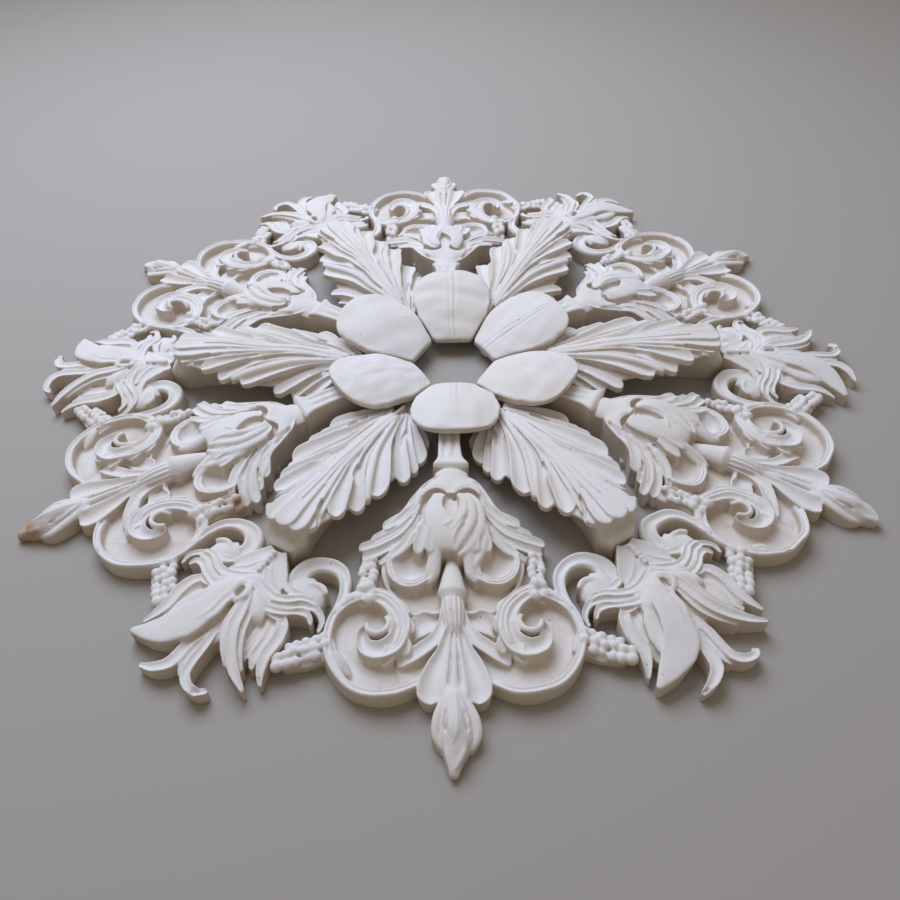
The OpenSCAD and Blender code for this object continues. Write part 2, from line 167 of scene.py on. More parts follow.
def leaflet(points, widths, depth, thick=None, grooves=0, blunt=1.0, count=56, bunch=0.5):
    """One finger of foliage with a round tip: a trough between two rims or, where depth is negative,
    a rounded back. It is solid down to the ground, or thick all along if that is given.
    points are the middle of its face."""
    path = curve(points, count, bunch)
    steps = np.linalg.norm(np.diff(path, axis=0), axis=1)
    share = np.concatenate([[0], np.cumsum(steps)]) / steps.sum()
    width = along(widths, share)
    start = 1 - min(0.9, blunt * widths[-1] / 2 / steps.sum())
    end = np.clip((share - start) / (1 - start), 0, 1)[:, None]
    half = width[:, None] / 2 * np.sqrt(np.clip(1 - end**2, 0, 1))
    if depth > 0:
        face = depth * (1 - 0.7 * end**2) * TROUGH
    else:
        face = depth * SECTION**2 * np.ones_like(end)
    rim = np.clip((np.abs(SECTION) - RIM) / (1 - RIM), 0, 1)
    face = face - 1.6 * rim**2 - 3.0 * end**3
    if grooves:
        face = face - 1.4 * (1 - np.cos(math.pi * (grooves + 1) * (SECTION + 1))) / 2 * (1 - 0.6 * end)
    under = -path[:, 2:] if thick is None else np.full((count, 1), -float(thick))
    across = np.concatenate([half * SECTION, half * TOES], axis=1)
    return sweep(path, across, np.concatenate([face, np.repeat(under, 3, axis=1)], axis=1))


def band(points, widths, section, count=110):
    """A strip of constant section, such as a rim; section gives the heights across it, in mm."""
    path = curve(points, count)
    half = along(widths, np.linspace(0, 1, count))[:, None] / 2
    across = np.linspace(-1, 1, len(section))
    under = np.repeat(-path[:, 2:], 2, axis=1)
    face = np.repeat(np.array(section, float)[None], count, axis=0)
    spread = np.concatenate([half * across, half * np.array([1.0, -1.0])], axis=1)
    return sweep(path, spread, np.concatenate([face, under], axis=1))


def bar(points, radii, flutes=0, flute_depth=0.0, count=40):
    """A round bar along a line, fluted lengthwise if asked, and cut off flat at the back."""
    path = curve(points, count)
    radius = along(radii, np.linspace(0, 1, count))[:, None]
    turn = np.linspace(0, math.tau, 48, endpoint=False)
    fluted = radius - flute_depth * (1 - np.cos(flutes * turn)) / 2
    obj = sweep(path, fluted * np.cos(turn), fluted * np.sin(turn))
    bpy.ops.object.mode_set(mode="EDIT")
    bpy.ops.mesh.select_all(action="SELECT")
    bpy.ops.mesh.bisect(plane_co=(0, 0, 0.05), plane_no=(0, 0, 1), use_fill=True, clear_inner=True)
    bpy.ops.object.mode_set(mode="OBJECT")
    return obj


def berry(place, radius):
    """One grape."""
    bpy.ops.object.select_all(action="DESELECT")
    bpy.ops.mesh.primitive_ico_sphere_add(subdivisions=3, radius=radius, location=place)
    bpy.ops.object.transform_apply(location=True)
    return bpy.context.object


def drum(place, radius, height):
    """A flat round plate on the ground."""
    bpy.ops.object.select_all(action="DESELECT")
    bpy.ops.mesh.primitive_cylinder_add(
        vertices=96, radius=radius, depth=height, location=(place[0], place[1], height / 2)
    )
    bpy.ops.object.transform_apply(location=True)
    return bpy.context.object


def block(low, high):
    """A plain block between two corners."""
    low, high = np.array(low, float), np.array(high, float)
    bpy.ops.object.select_all(action="DESELECT")
    bpy.ops.mesh.primitive_cube_add(size=1, location=(low + high) / 2, scale=high - low)
    bpy.ops.object.transform_apply(location=True, scale=True)
    return bpy.context.object


def drill(points, widths, depth):
    """A drop-shaped tool that cuts down to depth below the given line."""
    high = [(u, v, z + 40) for u, v, z in points]
    return leaflet(high, widths, -1.0, thick=40 + depth, count=40)


def use_modifier(obj, kind, **settings):
    """Adds a modifier, sets it and applies it."""
    bpy.ops.object.select_all(action="DESELECT")
    obj.select_set(True)
    bpy.context.view_layer.objects.active = obj
    made = obj.modifiers.new(kind.lower(), kind)
    for key, value in settings.items():
        setattr(made, key, value)
    bpy.ops.object.modifier_apply(modifier=made.name)


def mirrored(parts):
    """Copies of the parts on the other side of the axis."""
    out = []
    for part in parts:
        twin = part.copy()
        twin.data = part.data.copy()
        bpy.context.scene.collection.objects.link(twin)
        co = np.empty(len(twin.data.vertices) * 3, np.float32)
        twin.data.vertices.foreach_get("co", co)
        co[1::3] *= -1
        twin.data.vertices.foreach_set("co", co)
        twin.data.flip_normals()
        out.append(twin)
    return out


def merge(obj, others, operation):
    """Adds or takes away the other solids, which are then gone."""
    group = bpy.data.collections.new("others")
    bpy.context.scene.collection.children.link(group)
    for other in others:
        for home in list(other.users_collection):
            home.objects.unlink(other)
        group.objects.link(other)
    use_modifier(
        obj, "BOOLEAN", operation=operation, operand_type="COLLECTION", collection=group, solver="MANIFOLD"
    )
    for other in list(group.objects):
        bpy.data.objects.remove(other)
    bpy.data.collections.remove(group)


def read_places(mesh, kind="co"):
    """A mesh's vertices as rows of three, or their normals."""
    values = np.empty(len(mesh.vertices) * 3, np.float32)
    mesh.vertices.foreach_get(kind, values)
    return values.reshape(-1, 3).astype(float)


def blurred(values, reach):
    """The values on a grid, evened out over a square of cells, twice."""
    for _ in range(2):
        for axis in (0, 1):
            pad = [(0, 0), (0, 0)]
            pad[axis] = (reach + 1, reach)
            total = np.cumsum(np.pad(values, pad), axis=axis)
            size = values.shape[axis]
            far = np.take(total, np.arange(size) + 2 * reach + 1, axis=axis)
            values = (far - np.take(total, np.arange(size), axis=axis)) / (2 * reach + 1)
    return values


def write_shares(mesh, name, values):
    """Stores a value for each vertex, for the plaster to read."""
    layer = mesh.attributes.new(name, "FLOAT", "POINT")
    layer.data.foreach_set("value", np.asarray(values, np.float32))


# Size of the cells in which hollows are measured, in mm
CELL = 1.6


def thin_skin(obj, triangles):
    """Thins the skin's flat stretches, and stores the share of painted shade at each vertex: 0 on crests and
    open faces, rising to 1 in hollows, down walls and underneath, where shade falls."""
    co = read_places(obj.data)
    corner = co[:, :2].min(axis=0) - 2
    cell = ((co[:, :2] - corner) / CELL).astype(int)
    top = np.full(cell.max(axis=0) + 3, -1.0)
    np.maximum.at(top, (cell[:, 0], cell[:, 1]), co[:, 2])
    filled = (top >= 0).astype(float)
    # The mean height close round each cell, and over a wider stretch
    levels = [blurred(top * filled, n) / np.maximum(blurred(filled, n), 0.02) for n in (2, 7)]
    full = sum(len(p.vertices) - 2 for p in obj.data.polygons)
    use_modifier(obj, "DECIMATE", decimate_type="COLLAPSE", ratio=min(1.0, triangles / full))
    co = read_places(obj.data)
    cell = np.clip(((co[:, :2] - corner) / CELL).astype(int), 0, np.array(top.shape) - 1)
    depths = [level[cell[:, 0], cell[:, 1]] - co[:, 2] for level in levels]
    # Painted shade, partly settled dust: vertices sunk below the mean heights round them, and steep walls and
    # undersides, get a share that the plaster turns to a warm cream
    near, wide = [np.clip(depth / full_depth, 0, 1) for depth, full_depth in zip(depths, (5.0, 17.0))]
    steep = 1 - smooth(read_places(obj.data, "normal")[:, 2], 0.05, 0.6)
    write_shares(obj.data, "hollow", np.clip(np.maximum(0.6 * near + 0.12 * wide, 0.95 * steep), 0, 1))


def drop_voids(obj):
    """Keeps the outer skin and deletes any small closed voids left inside it."""
    first = int(np.argmin(read_places(obj.data)[:, 0]))
    bpy.ops.object.select_all(action="DESELECT")
    bpy.context.view_layer.objects.active = obj
    bpy.ops.object.mode_set(mode="EDIT")
    bpy.ops.mesh.select_mode(type="VERT")
    bpy.ops.mesh.select_all(action="DESELECT")
    bpy.ops.object.mode_set(mode="OBJECT")
    obj.data.vertices[first].select = True
    bpy.ops.object.mode_set(mode="EDIT")
    bpy.ops.mesh.select_linked()
    bpy.ops.mesh.select_all(action="INVERT")
    bpy.ops.mesh.delete(type="VERT")
    bpy.ops.object.mode_set(mode="OBJECT")


def cast(parts, name, cuts):
    """Runs the parts together into one skin, cuts the hollows, softens it as a mould does and thins its
    flat stretches."""
    voxel, triangles = FINENESS[name]
    obj = parts[0]
    obj.name = name
    merge(obj, parts[1:], "UNION")
    merge(obj, cuts, "DIFFERENCE")
    use_modifier(obj, "REMESH", mode="VOXEL", voxel_size=voxel, adaptivity=0.0)
    drop_voids(obj)
    use_modifier(obj, "SMOOTH", factor=0.5, iterations=8)
    thin_skin(obj, triangles)
    return obj


# ---- where the frame puts things ----


def local_box(node, angle):
    """Lowest and highest corner of a CAD node in the frame of a casting turned to the angle, in mm."""
    cad = frame["nodes"][node]
    co = np.empty(len(cad.data.vertices) * 3, np.float32)
    cad.data.vertices.foreach_get("co", co)
    turned = turn_about(co.reshape(-1, 3) / MM, -angle)
    return turned.min(axis=0), turned.max(axis=0)


def turn_about(co, angle):
    """The places turned about the upright axis through the middle of the rose."""
    c, s = math.cos(angle), math.sin(angle)
    return np.stack([co[:, 0] * c - co[:, 1] * s, co[:, 0] * s + co[:, 1] * c, co[:, 2]], axis=1)


# Bites out of edges, by casting: middle (u, v, z) and radius in mm
CHIPS = {
    "petal_6": [((66, 26, 38), 7), ((74, 40, 42), 5), ((226, -32, 88), 4)],
    "petal_2": [((64, -27, 38), 7), ((73, -38, 41), 5), ((60, 2, 41), 4)],
    "petal_5": [((150, 76, 66), 4)],
    "petal_1": [((62, 30, 37), 4)],
    "acanthus_leaf_1": [((330, 96, 80), 7), ((492, 12, 66), 8), ((230, -84, 62), 5)],
    "acanthus_leaf_2": [((402, -88, 84), 6), ((300, 98, 80), 6)],
    "acanthus_leaf_4": [((348, 92, 84), 7)],
    "acanthus_leaf_5": [((270, -94, 74), 7), ((420, 80, 84), 6)],
    "acanthus_leaf_6": [((365, -94, 82), 6), ((480, -34, 74), 7)],
    "scroll_panel_1": [((660, 92, 33), 6), ((462, -122, 52), 5), ((612, -186, 33), 5)],
    "scroll_panel_2": [((640, -142, 33), 7), ((560, 190, 33), 5)],
    "scroll_panel_3": [((648, 120, 33), 7), ((520, -176, 34), 5)],
    "scroll_panel_5": [((630, -150, 33), 7), ((752, 6, 30), 7)],
    "scroll_panel_6": [((655, 104, 33), 6), ((752, -8, 22), 8), ((576, -188, 33), 5)],
    "foliage_spray_1": [((696, 88, 26), 5), ((724, -52, 22), 6)],
    "foliage_spray_2": [((722, 30, 26), 7)],
    "foliage_spray_4": [((690, -88, 28), 7)],
    "foliage_spray_5": [((724, -48, 22), 6), ((676, 94, 22), 5)],
    "foliage_spray_6": [((566, 112, 28), 5), ((718, 36, 24), 6)],
}

# Brown water stains, by casting: middle (u, v, z), radius in mm and strength
STAINS = {
    "scroll_panel_6": [((745, 0, 12), 62, 0.95), ((700, -30, 8), 40, 0.5), ((452, 118, 22), 34, 0.85)],
    "scroll_panel_5": [((640, 30, 4), 60, 0.25)],
    "scroll_panel_4": [((420, 60, 10), 70, 0.3)],
    "foliage_spray_6": [((690, -84, 10), 26, 0.85), ((670, 90, 6), 24, 0.6), ((560, 112, 12), 20, 0.4)],
    "foliage_spray_1": [((722, 44, 10), 20, 0.55)],
    "acanthus_leaf_6": [((400, -88, 50), 46, 0.4), ((470, 0, 12), 40, 0.35)],
    "acanthus_leaf_1": [((250, 80, 40), 60, 0.35)],
}


def weather(co, name, seed):
    """Each casting's own unevenness and the bites out of its edges."""
    chance = np.random.default_rng(seed)
    firm = smooth(co[:, 2], 1.0, 14.0)
    for _ in range(5):
        way = chance.normal(size=2)
        way *= math.tau / chance.uniform(45, 150) / np.hypot(*way)
        wave = np.sin(co[:, 0] * way[0] + co[:, 1] * way[1] + chance.uniform(0, math.tau))
        co = co + (UNEVENNESS * firm * wave)[:, None] * chance.normal(size=3)
    for middle, radius in CHIPS.get(name, ()):
        out = co - middle
        gap = np.linalg.norm(out, axis=1)
        ragged = radius * (1 + 0.18 * np.sin(co[:, 0] * 1.3) * np.sin(co[:, 1] * 1.7 + co[:, 2]))
        inside = (gap < ragged) & (co[:, 2] > 1)
        outward = out[inside] / np.maximum(gap[inside], 0.3)[:, None]
        co[inside] = np.array(middle) + outward * ragged[inside, None]
    # The tip of this panel's bud is broken off
    if name == "scroll_panel_2":
        broken = 742 + 1.5 * np.sin(co[:, 1] * 0.9) + 0.05 * co[:, 2]
        co[:, 0] = np.minimum(co[:, 0], broken)
    return co


def set_out(masters, stem, angles):
    """Fits a casting to its CAD node's box and copies it round the rose, each copy with its own mesh."""
    for k, angle in enumerate(angles):
        node = f"{stem}_{k + 1}"
        master = masters[k % len(masters)]
        co = read_places(master.data)
        low, high = co.min(axis=0), co.max(axis=0)
        box_low, box_high = local_box(node, angle)
        fitted = box_low + (co - low) * (box_high - box_low) / (high - low)
        stain = np.zeros(len(co))
        for middle, radius, strength in STAINS.get(node, ()):
            stain += strength * (1 - smooth(np.linalg.norm(fitted - middle, axis=1), 0.25 * radius, radius))
        fitted = np.clip(weather(fitted, node, 31 * k + len(stem)), box_low, box_high)
        piece = master.copy()
        piece.data = master.data.copy()
        piece.name = f"{stem}_cast_{k + 1}"
        bpy.context.scene.collection.objects.link(piece)
        piece.data.vertices.foreach_set("co", (turn_about(fitted, angle) * MM).reshape(-1).astype(np.float32))
        piece.data.update()
        write_shares(piece.data, "stain", np.clip(stain, 0, 1))
        piece.data.shade_smooth()
        piece.data.materials.clear()
        piece.data.materials.append(plaster)
        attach(piece, "root")
        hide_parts(node)
    for master in masters:
        bpy.data.objects.remove(master)


# ---- materials ----


def add_node(tree, kind, inputs=(), **settings):
    """A node with its settings, values and links."""
    node = tree.nodes.new(kind)
    for key, value in settings.items():
        setattr(node, key, value)
    for key, value in dict(inputs).items():
        if isinstance(value, bpy.types.NodeSocket):
            tree.links.new(value, node.inputs[key])
        else:
            node.inputs[key].default_value = value
    return node


def new_material(name):
    """A material with no nodes as yet."""
    made = bpy.data.materials.new(name)
    made.use_nodes = True
    made.node_tree.nodes.clear()
    return made


def make_plaster():
    """Cast gypsum: a matt, chalky, cool white face. Painted shade, partly settled dust, turns it to a warm,
    duller cream in hollows and down walls; cast-in air holes with painted shade in them, a slightly lumpy
    skin and a few brown water stains."""
    made = new_material("cast_gypsum_plaster")
    tree = made.node_tree
    place = add_node(tree, "ShaderNodeTexCoord").outputs["Object"]

    def noise(size_mm, detail=3.0):
        """Noise whose lumps are about the given size."""
        inputs = {"Vector": place, "Scale": 1000 / size_mm, "Detail": detail, "Roughness": 0.55}
        return add_node(tree, "ShaderNodeTexNoise", inputs).outputs["Fac"]

    def read(name):
        return add_node(tree, "ShaderNodeAttribute", attribute_name=name).outputs["Fac"]

    def ramp(value, low, high, to_low=0.0, to_high=1.0):
        inputs = {"Value": value, "From Min": low, "From Max": high, "To Min": to_low, "To Max": to_high}
        return add_node(tree, "ShaderNodeMapRange", inputs, interpolation_type="SMOOTHSTEP").outputs["Result"]

    def figure(kind, first, second):
        return add_node(tree, "ShaderNodeMath", {0: first, 1: second}, operation=kind).outputs["Value"]

    def blend(share, first, second):
        inputs = {"Factor": share, 6: first, 7: second}
        return add_node(tree, "ShaderNodeMix", inputs, data_type="RGBA").outputs[2]

    broad, lumps, fine, grain = noise(130), noise(11), noise(3.2), noise(0.9, 2.0)
    # Painted shade, partly settled dust: a warm cream in hollows, down walls and underneath, its edge broken
    # up by the skin's own lumps
    hollow = figure("ADD", read("hollow"), ramp(lumps, 0.2, 0.8, -0.1, 0.1))
    colour = blend(ramp(broad, 0.35, 0.7), linear("#eff0f2"), linear("#ebe9e5"))
    colour = blend(ramp(hollow, 0.1, 1.0, 0.0, 0.85), colour, linear("#cfc1af"))
    # Fine cream specks and rubbed patches on the open faces
    colour = blend(ramp(fine, 0.62, 0.8, 0.0, 0.3), colour, linear("#dcd5ca"))
    # Water stains: brown with a stronger, uneven edge
    stained = figure("MULTIPLY", read("stain"), ramp(noise(24), 0.25, 0.7, 0.45, 1.0))
    colour = blend(ramp(stained, 0.0, 1.1), colour, linear("#a8794c"))
    # Air holes about 2 mm across, in one cell out of four, each darkened with painted shade and sunk by the
    # bump
    holes = add_node(tree, "ShaderNodeTexVoronoi", {"Vector": place, "Scale": 1000 / 19})
    split = add_node(tree, "ShaderNodeSeparateColor", {"Color": holes.outputs["Color"]})
    chosen = ramp(split.outputs["Red"], 0.72, 0.74)
    hole = figure("MULTIPLY", ramp(holes.outputs["Distance"], 0.045, 0.075, 1.0, 0.0), chosen)
    colour = blend(figure("MULTIPLY", hole, 0.75), colour, linear("#8b8175"))

    skin = figure("ADD", figure("MULTIPLY", lumps, 1.0), figure("MULTIPLY", fine, 0.35))
    skin = figure("ADD", skin, figure("MULTIPLY", grain, 0.12))
    skin = figure("SUBTRACT", skin, figure("MULTIPLY", hole, 1.2))
    bump = add_node(tree, "ShaderNodeBump", {"Height": skin, "Strength": 0.55, "Distance": 0.0011})
    shader = add_node(
        tree,
        "ShaderNodeBsdfPrincipled",
        {
            "Base Color": colour,
            "Roughness": ramp(fine, 0.3, 0.7, 0.66, 0.86),
            "Specular IOR Level": 0.3,
            "Normal": bump.outputs["Normal"],
        },
    )
    add_node(tree, "ShaderNodeOutputMaterial", {"Surface": shader.outputs["BSDF"]})
    return made


plaster = make_plaster()


# ---- petals ----

# A petal's place and sizes in mm, and its tilt in degrees
PETAL = dict(inner=64.0, length=164.0, width=148.0, inner_width=76.0, edge=12.0, crown=17.0, seat=27.0,
             tilt=15.5)

# The midrib of each petal: depth, where it starts and ends, the gap between its two lines and its bow, in mm
MIDRIBS = [
    (2.0, -0.1, 0.60, 4.0, 1.0),
    (0.7, 0.12, 0.70, 0.5, 5.0),
    (2.0, -0.1, 0.93, 4.6, -7.0),
    (2.2, -0.1, 1.10, 5.2, 0.0),
    (0.5, 0.15, 0.75, 0.5, -4.0),
    (1.6, 0.06, 0.84, 3.0, 6.0),
]


def make_petal(k):
    """A thick, gently domed petal with a crisp, hand-trimmed edge and a midrib of two scored lines."""
    chance = np.random.default_rng(40 + k)
    # The outline: soon wide, round at its tip, trimmed by hand and clear of the petals beside it
    crowded = np.sin(np.linspace(0, 1, 47)[1:] * math.pi / 2)
    share = np.concatenate([np.linspace(0, 0.7, 74), 0.7 + 0.3 * crowded])
    out = np.clip((share - 0.6) / 0.4, 0, 1)
    widening = np.sin(np.clip(share / 0.6, 0, 1) * math.pi / 2)
    half = PETAL["inner_width"] / 2 + (PETAL["width"] - PETAL["inner_width"]) / 2 * widening
    half *= np.clip(1 - out**2.6, 0, 1) ** (1 / 2.6)
    half *= 1 - 0.16 * (1 - smooth(share, 0.0, 0.05))
    half *= 1 + sum(0.006 * np.sin(share * beat + chance.uniform(0, 6)) for beat in (17, 29, 44))
    u = PETAL["inner"] + PETAL["length"] * share
    half = np.minimum(half, (u - 3.0) * math.tan(STEP / 2)) + 0.01
    # The face: part of a ball, rounded over at its rim and a little wavy
    radius = (PETAL["length"] / 2) ** 2 / (2 * PETAL["crown"]) + PETAL["crown"] / 2
    across = half[:, None] * np.sin(np.linspace(-1, 1, 121) * math.pi / 2)
    reach = (u - PETAL["inner"] - PETAL["length"] / 2)[:, None]
    dome = np.sqrt(np.clip(radius**2 - reach**2 - across**2, 0, None)) - radius
    dome = dome + PETAL["crown"] + PETAL["edge"]
    ends = np.minimum(u - PETAL["inner"], PETAL["inner"] + PETAL["length"] - u)[:, None]
    from_rim = np.minimum(half[:, None] - np.abs(across), ends + 0 * across)
    dome = dome - 2.2 * (1 - smooth(from_rim, 0, 3.4)) ** 2
    for _ in range(7):
        way = chance.normal(size=2)
        way *= math.tau / chance.uniform(28, 80) / np.hypot(*way)
        wave = np.sin(across * way[0] + reach * way[1] + chance.uniform(0, 6))
        dome = dome + UNEVENNESS * wave * smooth(from_rim, 1, 10)
    # The midrib: two scored lines and a low ridge between them. The lines draw together outwards, but
    # on petal_4 they spread apart.
    depth, start, end, gap, bow = MIDRIBS[k]
    fade = (smooth(share, start, start + 0.1) * (1 - smooth(share, end - 0.22, end)))[:, None]
    middle = bow * (1 - (reach / PETAL["length"] * 2) ** 2)
    spread = gap * (1 + 0.5 * reach / PETAL["length"] if k == 3 else 1 - 0.9 * (share[:, None] - 0.3))
    for side in (-1, 1):
        dome = dome - depth * np.exp(-(((across - middle - side * spread) / 1.7) ** 2)) * fade
    dome = dome + 0.3 * depth * np.exp(-(((across - middle) / 2.4) ** 2)) * fade
    # The petal rises outwards from its seat
    seat = PETAL["seat"] + (u - PETAL["inner"]) * math.tan(math.radians(PETAL["tilt"]))
    path = np.stack([u, 0 * u, seat], axis=1)
    back = half[:, None] * np.array([0.97, 0.5, 0.0, -0.5, -0.97])
    rings_up = np.concatenate([dome, np.zeros((len(u), 5))], axis=1)
    obj = sweep(path, np.concatenate([across, back], axis=1), rings_up)
    obj.name = "petal"
    voxel, triangles = FINENESS["petal"]
    use_modifier(obj, "REMESH", mode="VOXEL", voxel_size=voxel, adaptivity=0.0)
    use_modifier(obj, "SMOOTH", factor=0.5, iterations=3)
    thin_skin(obj, triangles)
    return obj


# ---- acanthus leaves ----

# The arched form that the leaf's flutes lie on, in mm
LEAF = dict(start=150.0, length=332.0, width=196.0, tip_height=88.0, bow=12.0, arch=25.0, start_height=44.0)


def leaf_surface(u, v):
    """Height of the leaf's broad arched form at a place."""
    t = (np.asarray(u, float) - LEAF["start"]) / LEAF["length"]
    spine = LEAF["start_height"] + (LEAF["tip_height"] - LEAF["start_height"]) * t
    spine = spine + 4 * LEAF["bow"] * t * (1 - t)
    return spine - LEAF["arch"] * (2 * np.asarray(v, float) / LEAF["width"]) ** 2


def leaf_flute(places, widths, depth, low, lift):
    """A flute of the leaf along places on its arched form, low above it at its root and lift at its tip."""
    rise = low + (lift - low) * np.linspace(0, 1, len(places)) ** 0.7
    points = [(u, v, leaf_surface(u, v) + more) for (u, v), more in zip(places, rise)]
    return leaflet(points, widths, depth, thick=14, count=100, bunch=0.4)


def make_leaf():
    """One fluted leaf: flutes on an arched plate, a rounded spine and the keel that carries them."""
    side = [
        leaf_flute([(158, 20), (178, 42), (196, 64), (210, 84)], (12, 20, 24, 22), 5, -2, -6),
        leaf_flute([(158, 17), (186, 38), (218, 66), (246, 96)], (10, 22, 34, 34), 7, 0, -2.5),
        leaf_flute([(176, 26), (206, 46), (238, 70), (270, 99)], (6, 12, 17, 20), 4, -2, -5),
        leaf_flute([(168, 14), (204, 31), (240, 54), (272, 78), (300, 99)], (7, 14, 20, 24, 26), 5, 0, -2.5),
        leaf_flute([(164, 10), (210, 20), (262, 34), (308, 56), (336, 74), (354, 87)],
                   (6, 12, 24, 38, 44, 38), 9, 2, 3),
        leaf_flute([(196, 13), (240, 23), (280, 34), (318, 50), (350, 66), (372, 80)],
                   (4, 6, 8, 10, 12, 12), -3, 2, 1),
        leaf_flute([(182, 7), (240, 12), (300, 20), (346, 40), (374, 60), (394, 78)],
                   (5, 9, 16, 24, 30, 28), 6, -1, -3),
        leaf_flute([(178, 4), (240, 7), (306, 12), (360, 28), (398, 46), (426, 60)],
                   (5, 9, 17, 28, 34, 28), 8, 1.5, 0.5),
        leaf_flute([(200, 3), (270, 6), (340, 11), (390, 21), (430, 31), (466, 40)],
                   (4, 7, 12, 19, 23, 24), 4, -0.5, -2),
        leaf_flute([(210, 2), (290, 4), (360, 8), (410, 14), (450, 20), (479, 24)],
                   (4, 8, 13, 21, 32, 34), 3, 1, 1),
    ]
    parts = side + mirrored(side)
    middle = [(230, 0), (330, 0), (400, 0), (450, 0), (482, 0)]
    parts.append(leaf_flute(middle, (5, 8, 14, 30, 40), 2, 2.5, 2.5))
    # Thin ribs on both sides of the middle flute
    for root, end, way in ((176, 400, -13), (180, 424, -8), (186, 410, 8), (180, 390, 13.5)):
        shares = np.linspace(0, 1, 6)
        line = [(root + (end - root) * t, way * (0.6 + 0.4 * t)) for t in shares]
        parts.append(leaf_flute(line, (4, 5, 5, 4, 2), -2, 3, 0.8))
    # Eyes drilled between the lobes
    cuts = [
        drill([(u, v, leaf_surface(u, v)) for u, v in places], widths, 9)
        for places, widths in (
            (((206, 40), (222, 47), (240, 57)), (4, 9, 5)),
            (((326, 29), (340, 36), (354, 45)), (6, 14, 8)),
            (((414, 27), (432, 34), (456, 52)), (4, 7, 9)),
        )
    ]
    cuts += mirrored(cuts)
    spine_u = np.array([150, 230, 310, 390, 430])
    parts.append(leaflet([(u, 0, leaf_surface(u, 0) + 4) for u in spine_u], (7, 6, 5, 4, 3), -3, thick=16))
    # The plate under the flutes, which keeps its form while they cross it
    plate_u = np.linspace(160, 470, 24)
    plate_half = np.interp(plate_u, [160, 210, 260, 350, 400, 440, 470], [12, 54, 84, 79, 62, 48, 38])
    across = np.linspace(-1, 1, 15)
    grid = np.stack(
        [
            plate_u[:, None] + 0 * across,
            plate_half[:, None] * across,
            leaf_surface(plate_u[:, None], plate_half[:, None] * across) - 9,
        ],
        axis=2,
    )
    under = grid[:, ::-1] - (0, 0, 6)
    parts.append(solid_from_rings(np.concatenate([grid, under], axis=1)))
    # The keel stands on the ground and widens to a block at its outer end
    keel_u = np.concatenate([np.linspace(124, 462, 14), [470, 480, 488, 492]])
    top = np.concatenate([leaf_surface(np.clip(keel_u[:14], 150, None), 0) - 12, [74, 58, 48, 42]])
    half = np.interp(keel_u, [124, 300, 430, 458, 470, 480, 492], [18, 20, 24, 36, 38, 32, 22])
    across = np.stack([s * half for s in (-1, -0.85, 0.85, 1, 0.72, -0.72)], axis=1)
    up = np.stack([top - 6, top, top, top - 6, 0 * top, 0 * top], axis=1)
    parts.append(sweep(np.stack([keel_u, 0 * keel_u, 0 * keel_u], axis=1), across, up))
    return cast(parts, "acanthus_leaf", cuts)


# ---- scroll panels ----

# Sections across a strip: the heights from one edge to the other, in mm
MOULDING = (-7, -2, 0, 0, -1, -4, -4.5, -3, -1.5, -1.5, -4, -9)
CURL = (-6, -1, 0, -2.5, -4.5, -5, -4.5, -2.5, 0, -1, -6)
CUP_RIM = (-10, -2, 0, -3.5, -4, -1, -1, -4.5, -5, -2, -2.5, -8, -14)
TAPE = (-4, -0.5, 0, -0.5, -4)
STRAP = (-8, -1, 0, -3, -3, 0, 0, -3.2, -3.2, -0.5, -1, -4, -5.5, -6, -5.5, -4, -1, 0, -1, -8)


def flute(points, widths, depth, low=0.0):
    """A hollow flute, set down by low so that its neighbour's rim alone forms the crest between them."""
    return leaflet([(u, v, z - low) for u, v, z in points], widths, depth, count=72)


def make_wing():
    """One side of the shell: a hollow wing, the S-curved flutes of its ear and the collar's rolled edge."""
    return [
        leaflet([(304, 10, 56), (324, 30, 55), (348, 42, 53), (376, 54, 50), (400, 76, 43), (414, 100, 36)],
                (14, 24, 34, 42, 46, 40), 10),
        flute([(326, 35, 57), (350, 46, 54), (370, 60, 51), (382, 80, 46), (391, 101, 40)],
              (7, 11, 16, 19, 18), 5),
        flute([(342, 42, 56), (368, 54, 52), (388, 71, 47), (401, 94, 42), (409, 117, 35)],
              (7, 11, 16, 19, 18), 5, 2),
        flute([(356, 45, 54), (384, 59, 50), (404, 80, 45), (414, 106, 38), (419, 135, 30)],
              (7, 11, 16, 18, 16), 5),
        flute([(372, 46, 52), (402, 62, 48), (421, 85, 42), (430, 108, 35), (434, 130, 29)],
              (7, 11, 15, 16, 14), 4.5, 2),
        flute([(392, 48, 51), (422, 64, 44), (439, 85, 38), (449, 106, 31)], (8, 14, 15, 8), 3.5),
        leaflet([(345, 1, 62), (333, 9, 62), (327, 21, 61), (331, 35, 58), (346, 46, 55), (366, 52, 51)],
                (7, 10, 12, 12, 10, 6), -3),
    ]


